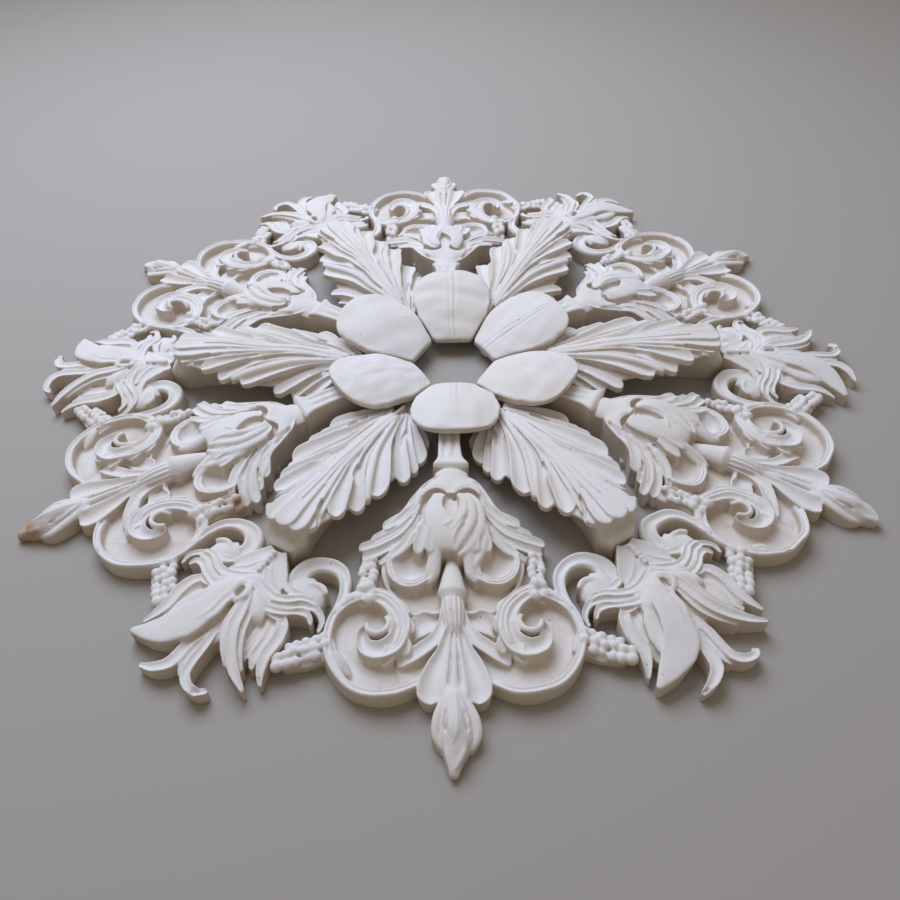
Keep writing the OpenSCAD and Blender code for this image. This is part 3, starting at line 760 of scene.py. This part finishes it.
def make_apron():
    """The middle of the shell: a smooth apron round an almond hollow, ribbons curled down its one side and
    a folded lip below."""
    ribbons = [
        leaflet([(346, 3, 64), (353, 14, 67), (370, 20, 69), (388, 18, 70), (404, 10, 69), (416, 2, 66)],
                (8, 9, 10, 10, 10, 5), -2.5),
        leaflet([(346, 6, 62), (354, 21, 65), (374, 29, 68), (398, 29, 67), (418, 21, 64), (434, 11, 60),
                 (448, 4, 56)], (8, 12, 14, 14, 13, 11, 7), -3),
        leaflet([(341, 10, 59), (350, 31, 61), (374, 40, 63), (402, 41, 62), (426, 33, 58), (442, 21, 54),
                 (452, 8, 51)], (9, 14, 16, 16, 15, 12, 8), -3),
        leaflet([(380, 40, 59), (412, 47, 57), (436, 43, 52), (456, 35, 46), (474, 26, 39)],
                (8, 13, 13, 11, 6), -3),
        leaflet([(397, 4, 67), (405, -3, 68), (410, -12, 66)], (5, 7, 4), -2.5),
        leaflet([(399, 5, 67), (406, 11, 68), (404, 19, 67)], (5, 7, 4), -2.5),
        leaflet([(406, 15, 68), (416, 8, 67), (428, 3, 64), (444, 3, 57)], (4, 6, 6, 4), -2.5),
    ]
    shield = leaflet([(334, 0, 54), (346, -1, 63), (368, -2, 66), (400, -2, 66), (428, -1, 62), (446, 0, 54)],
                     (34, 60, 72, 72, 60, 48), -6, blunt=0.35)
    floor = leaflet([(306, 0, 53), (330, 0, 51), (362, 0, 54), (410, 0, 54), (446, 0, 48)],
                    (50, 60, 76, 84, 60), -6)
    return ribbons + [shield, floor]


def make_cup():
    """One hanging cup with a ridged rim, and the fingers that fall over its edges."""
    return [
        leaflet([(425, 60, 42), (440, 60, 34), (458, 60, 29), (480, 60, 29)], (40, 54, 56, 44), 10),
        band(
            [(436, 32, 47), (456, 29, 42), (473, 34, 38), (484, 50, 36), (484, 68, 36), (474, 83, 37),
             (456, 90, 38), (438, 90, 39)],
            (10, 12, 15, 17, 17, 15, 12, 9), CUP_RIM, count=90,
        ),
        band([(440, 99, 30), (466, 98, 27), (486, 90, 22), (500, 76, 16)], (6, 6, 6, 5), TAPE, count=40),
        leaflet([(404, 38, 61), (428, 46, 54), (446, 49, 49)], (14, 19, 14), 3),
        leaflet([(408, 27, 63), (432, 31, 57), (448, 32, 52)], (10, 13, 11), 2),
        leaflet([(436, 22, 55), (456, 24, 47), (474, 27, 40), (488, 34, 34)], (14, 17, 15, 6), -4),
        leaflet([(446, 30, 48), (464, 33, 41), (479, 39, 36)], (8, 11, 5), -3),
        leaflet([(404, 56, 50), (426, 72, 43), (440, 88, 38), (447, 100, 34)], (10, 14, 14, 6), 3),
    ]


def make_scroll():
    """One tray with its rim, the fluted strap that curls into it and the C scroll outside it."""
    rim = [
        (628, 40, 25), (640, 58, 30), (648, 80, 31), (648, 104, 31), (634, 137, 31), (604, 160, 31),
        (572, 168, 31), (544, 165, 31), (520, 156, 30),
    ]
    strap = [
        (530, 158, 30), (515, 147, 31), (504, 130, 33), (503, 110, 35), (513, 90, 36), (532, 75, 37),
        (555, 70, 37), (576, 75, 36), (588, 86, 29),
    ]
    curl = [
        (534, 161, 28), (518, 155, 30), (498, 150, 31), (478, 150, 32), (461, 158, 32),
        (450, 173, 32), (447, 191, 32), (454, 207, 32), (469, 217, 32), (488, 216, 32), (505, 206, 31),
    ]
    return [
        # The tray's floor and rim, and the strap with the curled cup at its end
        drum((565, 88), 84, 12),
        band(rim, (13, 13), MOULDING, count=90),
        band(strap, (9, 14, 20, 24, 27, 29, 29, 26, 18), STRAP),
        leaflet([(548, 71, 36), (570, 73, 38), (587, 84, 38), (592, 101, 37), (583, 116, 36), (566, 121, 36),
                 (553, 115, 37)], (14, 24, 28, 28, 24, 15, 6), 9, count=110, bunch=0.3),
        leaflet([(538, 91, 31), (552, 86, 39), (565, 91, 41), (570, 102, 42), (564, 112, 42), (552, 115, 41)],
                (5, 7, 8, 8, 8, 6), -2.5),
        # Small leaves along the strap's back
        leaflet([(512, 82, 33), (523, 68, 34), (536, 60, 32)], (10, 14, 12), 3),
        leaflet([(534, 70, 34), (551, 59, 34), (564, 56, 31)], (10, 14, 12), 3),
        leaflet([(566, 70, 34), (583, 63, 33), (596, 64, 29)], (12, 16, 13), 3),
        leaflet([(586, 84, 33), (600, 86, 31), (608, 95, 26)], (14, 16, 11), 3),
        # The C scroll and the leaf that fills its curl
        band(curl, (13, 14, 16, 19, 22, 25, 28, 30, 32, 34, 32), CURL, count=90),
        leaflet([(474, 208, 33), (490, 204, 34), (506, 194, 32), (520, 183, 26)], (34, 42, 42, 36), -6),
        leaflet([(492, 210, 34), (483, 194, 35), (488, 180, 34), (500, 173, 32)], (8, 9, 9, 7), -2.5),
    ]


def grape_places():
    """The berries of one side: a hanging string by the shell and a bunch outside the tray."""
    chance = np.random.default_rng(7)
    string = [(444 + 11.5 * i, 112 + 2 * math.sin(2.1 * i), 32 - 1.2 * (i % 2)) for i in range(7)]
    string += [(458 + 11.5 * i, 125 + 2 * math.sin(1.7 * i), 29 + 1.5 * (i % 2)) for i in range(5)]
    bunch = []
    for row, (count, start) in enumerate(((5, 171), (6, 172), (5, 182))):
        for i in range(count):
            v = start + 12.0 * i
            bunch.append((564 + 12 * row + 0.3 * (v - 172), v, 26 - 3 * abs(row - 1) - 0.06 * (v - 172)))
    places = [np.array(place) for place in string + bunch]
    return [(place + chance.uniform(-1.6, 1.6, 3), chance.uniform(6.4, 8.8)) for place in places]


def make_tail():
    """The vine's trumpet, its tassel and spreading leaves, the lobes and the bud."""
    side = [
        leaflet([(524, 13, 30), (552, 17, 31), (574, 28, 31), (587, 44, 29), (597, 60, 26), (606, 75, 21)],
                (8, 12, 17, 21, 21, 12), 4.5),
        leaflet([(558, 8, 34), (588, 15, 32), (616, 24, 31), (640, 30, 30), (664, 30, 27)],
                (8, 15, 27, 34, 33), 8),
        leaflet([(536, 14, 22), (542, 32, 23), (552, 52, 22), (566, 64, 19)], (22, 34, 34, 18), 6),
        band([(526, 14, 26), (532, 26, 26), (528, 38, 26), (531, 50, 25), (524, 62, 24)], (5, 5), TAPE,
             count=40),
        leaflet([(574, 5, 29), (600, 9, 30), (630, 12, 31), (656, 15, 31)], (4, 6, 7, 8), -2.5),
        leaflet([(648, 8, 32), (666, 17, 31), (686, 24, 28), (704, 25, 22), (720, 17, 15)],
                (7, 10, 12, 11, 5), -3.5),
        leaflet([(652, 4, 36), (668, 10, 35), (690, 14, 32), (706, 13, 26)], (4, 6, 7, 4), -2),
    ]
    middle = [
        bar([(446, 0, 24), (464, 0, 25), (486, 0, 26), (498, 0, 26), (506, 0, 26), (513, 0, 25)],
            (9, 12, 16, 19, 22, 18)),
        bar([(505, 0, 26), (515, 0, 27), (535, 0, 27), (556, 0, 25), (572, 0, 21)], (14, 18, 17.5, 15, 7),
            flutes=14, flute_depth=3.4, count=60),
        leaflet([(560, 0, 30), (592, 0, 32), (620, 0, 33), (650, 0, 33)], (5, 6, 9, 14), -3),
        leaflet([(640, 0, 32), (660, 0, 35), (676, 0, 35)], (22, 27, 20), -5),
        bar(
            [(644, 0, 12), (660, 0, 13), (680, 0, 13), (698, 0, 12), (712, -1, 11), (724, -2, 10),
             (738, -3, 9), (750, -3, 7)],
            (13, 15, 20, 23, 21.5, 17, 10, 5), count=70,
        ),
        leaflet([(650, 0, 37), (668, 0, 39), (686, -1, 40), (703, -2, 38), (719, -4, 30)],
                (10, 15, 20, 18, 4), -4, grooves=2, blunt=1.6),
        leaflet([(712, 10, 28), (724, 8, 26), (736, 2, 21), (744, -3, 17)], (8, 9, 8, 5), -3),
        leaflet([(714, -12, 26), (726, -11, 24), (738, -7, 19), (749, -4, 14)], (7, 9, 9, 7), -3),
        block((446, -6, 0), (650, 6, 24)),
        block((560, -16, 0), (662, 16, 25)),
    ]
    return side + mirrored(side) + middle


def under_face(u, half, face):
    """A solid straight out along the axis: half its width at each u, and the rows of its face's heights."""
    shares = np.linspace(-1, 1, face.shape[1])
    across = np.concatenate([half[:, None] * shares, half[:, None] * [1.0, -1.0]], axis=1)
    path = np.stack([u, 0 * u, 0 * u], axis=1)
    return sweep(path, across, np.concatenate([face, np.zeros((len(u), 2))], axis=1))


def make_stem():
    """A fluted rectangular stem, its flared lip and the rounded collar."""
    u = np.array([104, 106, 134, 180, 206, 240, 264, 272, 279, 284, 288.0])
    half = np.array([14.5, 14.5, 15, 16, 17, 18, 19.5, 22, 26, 28.5, 27.5])
    top = np.array([26, 34, 44, 56, 60, 60, 60, 60.5, 62, 61, 56])
    shares = np.linspace(-1, 1, 41)
    hollows = 4.5 * np.exp(-(((np.abs(shares) - 0.42) / 0.2) ** 2)) * (1 - smooth(u, 255, 276))[:, None]
    face = top[:, None] - 2.5 * np.clip((np.abs(shares) - 0.82) / 0.18, 0, 1) ** 2 - hollows
    stem = under_face(u, half, face)
    u = np.linspace(286, 346, 22)
    half = np.interp(u, [286, 292, 308, 322, 334, 346], [23, 25.5, 27, 35, 42, 44])
    spine = np.interp(u, [286, 292, 304, 322, 336, 346], [54, 57, 58, 60, 61, 60])
    face = spine[:, None] - 10 * np.abs(shares) ** 2.4 * (1 - 0.75 * smooth(u, 305, 325))[:, None]
    collar = under_face(u, half, face)
    return [stem, collar, block((76, -9, 17), (112, 9, 27))]


def make_panel():
    """One scroll panel. Its two halves are alike but for the apron, the bud and one small leaf."""
    half = make_scroll() + make_wing() + make_cup()
    half += [berry(place, radius) for place, radius in grape_places()]
    half.append(leaflet([(440, 118, 27), (480, 119, 26), (516, 124, 25)], (24, 28, 26), -3))
    half.append(leaflet([(574, 158, 23), (586, 196, 21), (597, 230, 17)], (32, 38, 24), -4))
    parts = half + mirrored(half) + make_apron() + make_tail() + make_stem()
    parts.append(leaflet([(590, -158, 31), (604, -147, 27), (619, -134, 17)], (10, 15, 7), -3))
    parts.append(block((356, -70, 0), (640, 70, 12)))
    parts.append(block((340, -34, 0), (446, 34, 40)))
    parts.append(block((444, -122, 0), (510, 122, 12)))
    cuts = [
        drill([(353, 4, 60), (343, 12, 60), (339, 23, 59), (344, 34, 57), (360, 44, 54)],
              (3, 8, 11, 9, 4), 12),
        drill([(672, 11, 36), (688, 13, 34), (704, 13, 27)], (2, 5, 2), 5),
    ]
    almond = drill([(346, 1, 64), (356, 0, 66), (368, 0, 67), (381, 2, 68), (397, 5, 68)],
                   (12, 26, 28, 18, 3), 12)
    return cast(parts, "scroll_panel", cuts + mirrored(cuts) + [almond])


# ---- foliage sprays ----


def finger(points, widths, depth, low=0.0):
    """A finger of the spray, set down by low so that a neighbour's rim stands clear of it."""
    return leaflet([(u, v, z - low) for u, v, z in points], widths, depth, count=72)


def make_spray():
    """A spray with a beaded bud at its joint, S-curved side leaves, an eyed middle with a smooth tongue one
    side and a fluted one the other, drooping side leaves and two hooked tongues at the end."""
    side = [
        # Shoulders of the joint, and the scalloped frill under them
        finger([(494, 6, 47), (512, 14, 47), (530, 26, 44), (544, 40, 40)], (15, 24, 26, 16), 3),
        finger([(506, 3, 47), (524, 12, 46), (538, 24, 43), (546, 34, 40)], (9, 13, 13, 8), 3, low=2),
        finger([(526, 6, 49), (540, 16, 46), (549, 30, 42), (551, 44, 39)], (8, 12, 13, 9), 3),
        finger([(536, 42, 42), (541, 56, 41), (539, 70, 38), (541, 80, 34)], (10, 14, 14, 9), 3),
        # Three flutes of the S-curved side leaf, each out to its own hooked tip
        finger([(545, 1, 48), (556, 16, 47), (561, 38, 44), (554, 58, 43), (543, 74, 41), (541, 88, 38),
                (547, 98, 33)], (8, 13, 15, 13, 11, 9, 5), 4),
        finger([(551, 1, 49), (565, 18, 47), (570, 40, 45), (563, 62, 43), (550, 80, 40), (547, 97, 37),
                (556, 110, 32), (571, 113, 28)], (9, 14, 16, 14, 13, 12, 9, 5), 5, low=1.8),
        finger([(558, 4, 49), (573, 22, 47), (579, 42, 44), (573, 60, 42), (562, 78, 38), (560, 92, 35),
                (568, 101, 30)], (9, 13, 15, 14, 13, 11, 6), 4),
        # Frill at its lower edge
        finger([(570, 34, 44), (580, 46, 42), (582, 58, 40), (576, 68, 37)], (9, 13, 13, 8), 3, low=1.5),
        # Round side fingers beside the eye, turned under
        finger([(568, 16, 48), (584, 30, 48), (598, 38, 45), (607, 38, 37)], (12, 22, 23, 18), -6),
        finger([(592, 20, 42), (610, 30, 40), (620, 32, 32)], (10, 18, 12), -4),
        # Drooping side leaf in three folds
        finger([(574, 56, 36), (588, 72, 38), (610, 79, 36), (636, 79, 33), (658, 86, 28), (673, 95, 22)],
               (10, 16, 18, 17, 13, 5), 4),
        finger([(580, 50, 34), (600, 62, 35), (622, 66, 34), (642, 66, 31), (660, 72, 25)],
               (9, 14, 16, 15, 6), 4, low=2),
        finger([(590, 44, 32), (612, 52, 33), (634, 54, 31), (654, 56, 25)], (9, 15, 17, 7), 3, low=0.5),
        finger([(604, 34, 32), (628, 42, 32), (650, 46, 29)], (24, 28, 16), 2, low=2),
    ]
    beads = [berry((505 + 8.0 * i, 0, 49.0 - 0.3 * i), 4.9 - 0.25 * i) for i in range(5)]
    # Middle: an eye between two rims, the smooth tongue and the fluted one
    middle = [
        finger([(560, -3, 50), (574, -12, 53), (598, -20, 53), (626, -24, 51), (649, -33, 47), (669, -52, 40),
                (683, -75, 33), (691, -97, 28)], (8, 22, 32, 42, 48, 44, 28, 6), -1.5),
        finger([(592, -38, 45), (614, -50, 42), (638, -58, 39), (656, -64, 35)], (10, 20, 22, 8), -3),
        finger([(584, 0, 52), (604, -3, 53), (624, -4, 52), (644, -14, 48), (662, -34, 42)],
               (4, 6, 8, 8, 4), -2),
        finger([(578, -9, 53), (600, -12, 54), (622, -13, 53), (644, -24, 49), (664, -44, 43)],
               (3, 5, 6, 6, 3), -1.5),
        finger([(562, 2, 51), (578, 12, 52), (600, 19, 50), (626, 25, 48), (650, 37, 43), (672, 57, 36),
                (691, 84, 28)], (9, 14, 16, 17, 16, 13, 5), 4),
        finger([(572, 4, 51), (590, 10, 51), (612, 12, 49), (634, 16, 46), (656, 29, 40), (674, 46, 33)],
               (8, 10, 11, 11, 9, 5), 3, low=2),
        finger([(586, 24, 47), (606, 30, 46), (630, 36, 43), (654, 50, 37), (670, 66, 30)],
               (9, 13, 15, 13, 6), 4, low=0.5),
        finger([(580, -4, 51), (600, -7, 51), (622, -10, 49), (640, -12, 44)], (7, 9, 9, 5), 3, low=1),
        bar([(560, 0, 46), (568, -8, 49), (579, -10, 50), (589, -7, 49), (595, 0, 46)],
            (3.5, 4.2, 4.4, 4.2, 3.5)),
        bar([(560, 0, 46), (568, 9, 49), (579, 11, 50), (589, 7, 49), (595, 0, 46)],
            (3.5, 4.2, 4.4, 4.2, 3.5)),
        finger([(564, 0, 47), (578, 0, 46), (592, 0, 46)], (12, 15, 10), 3),
    ]
    # Two hooked tongues at the end, and the web they rise from
    tips = [
        finger([(640, 4, 37), (664, 6, 36), (688, 6, 34), (706, 9, 32), (717, 21, 30), (718, 36, 27),
                (709, 44, 23)], (9, 12, 13, 13, 14, 13, 9), 4),
        finger([(646, -6, 36), (668, -14, 35), (690, -16, 33), (706, -20, 31), (718, -34, 28),
                (724, -55, 22)], (10, 15, 17, 18, 15, 6), 4),
        finger([(660, -2, 34), (682, -3, 34), (702, -2, 31), (712, 4, 26)], (8, 10, 11, 6), 3, low=2),
        finger([(616, 0, 37), (646, -2, 33), (672, -4, 29)], (34, 38, 20), -3),
    ]
    core = [
        finger([(540, 0, 35), (570, 0, 37), (600, 0, 36), (630, 0, 34), (654, 0, 28)],
               (46, 84, 76, 84, 60), -2),
        finger([(498, 0, 42), (524, 0, 44), (552, 0, 46), (568, 0, 46)], (16, 30, 34, 20), -3),
        finger([(545, 30, 30), (556, 60, 30), (552, 84, 28)], (26, 26, 18), -2),
        finger([(545, -30, 30), (556, -60, 30), (552, -84, 28)], (26, 26, 18), -2),
    ]
    parts = side + mirrored(side) + beads + middle + tips + core
    cuts = [drill([(570, 0, 51), (578, 0, 49), (588, 0, 49)], (8, 10, 5), 8)]
    side_cuts = [
        drill([(590, 50, 38), (604, 54, 37), (616, 56, 37)], (4, 9, 3), 9),
        drill([(553, 30, 44), (550, 44, 43), (545, 56, 42)], (3, 6, 2), 6),
    ]
    return cast(parts, "foliage_spray", cuts + side_cuts + mirrored(side_cuts))


# ---- setting out ----

leaf_angles = [FRONT + STEP / 2 + STEP * k for k in range(SECTORS)]
panel_angles = [FRONT + STEP * k for k in range(SECTORS)]
set_out([make_leaf()], "acanthus_leaf", leaf_angles)
set_out([make_panel()], "scroll_panel", panel_angles)
set_out([make_spray()], "foliage_spray", leaf_angles)
set_out([make_petal(k) for k in range(SECTORS)], "petal", panel_angles)


# ---- the studio ----

# Place in metres, turn in degrees and focal length in mm
CAMERA_PLACE = (-0.0042, -1.1605, 0.9612)
CAMERA_TURN = (45.195, 0.631, -0.901)
CAMERA_LENS = 32.70


def make_camera():
    bpy.ops.object.camera_add(location=CAMERA_PLACE, rotation=[math.radians(a) for a in CAMERA_TURN])
    camera = bpy.context.object
    camera.data.lens = CAMERA_LENS
    camera.data.sensor_width = 36
    bpy.context.scene.camera = camera


def make_light(name, place, size, power, colour):
    """A soft square light that faces the middle of the rose."""
    bpy.ops.object.light_add(type="AREA", location=place)
    lamp = bpy.context.object
    lamp.name = name
    lamp.data.size = size
    lamp.data.energy = power
    lamp.data.color = linear(colour)[:3]
    x, y, z = place
    lamp.rotation_euler = (math.atan2(math.hypot(x, y), z), 0, math.atan2(x, -y))


def make_studio():
    """A matt pale floor of one colour, an even warm sky and one cool light from behind."""
    bpy.ops.mesh.primitive_grid_add(x_subdivisions=2, y_subdivisions=2, size=30, location=(0, 0, 0))
    floor = bpy.context.object
    floor.name = "floor"
    made = new_material("pale_floor_paint")
    shader = add_node(made.node_tree, "ShaderNodeBsdfPrincipled",
                      {"Base Color": linear("#b0aea9"), "Roughness": 0.9})
    add_node(made.node_tree, "ShaderNodeOutputMaterial", {"Surface": shader.outputs["BSDF"]})
    floor.data.materials.append(made)
    world = bpy.data.worlds.new("studio")
    bpy.context.scene.world = world
    world.use_nodes = True
    world.node_tree.nodes["Background"].inputs["Color"].default_value = linear("#dccdba")
    world.node_tree.nodes["Background"].inputs["Strength"].default_value = 0.4
    make_light("key", (-0.75, 1.3, 2.5), 2.2, 80, "#dde6fc")
    bpy.context.scene.view_settings.view_transform = "Standard"


make_camera()
make_studio()
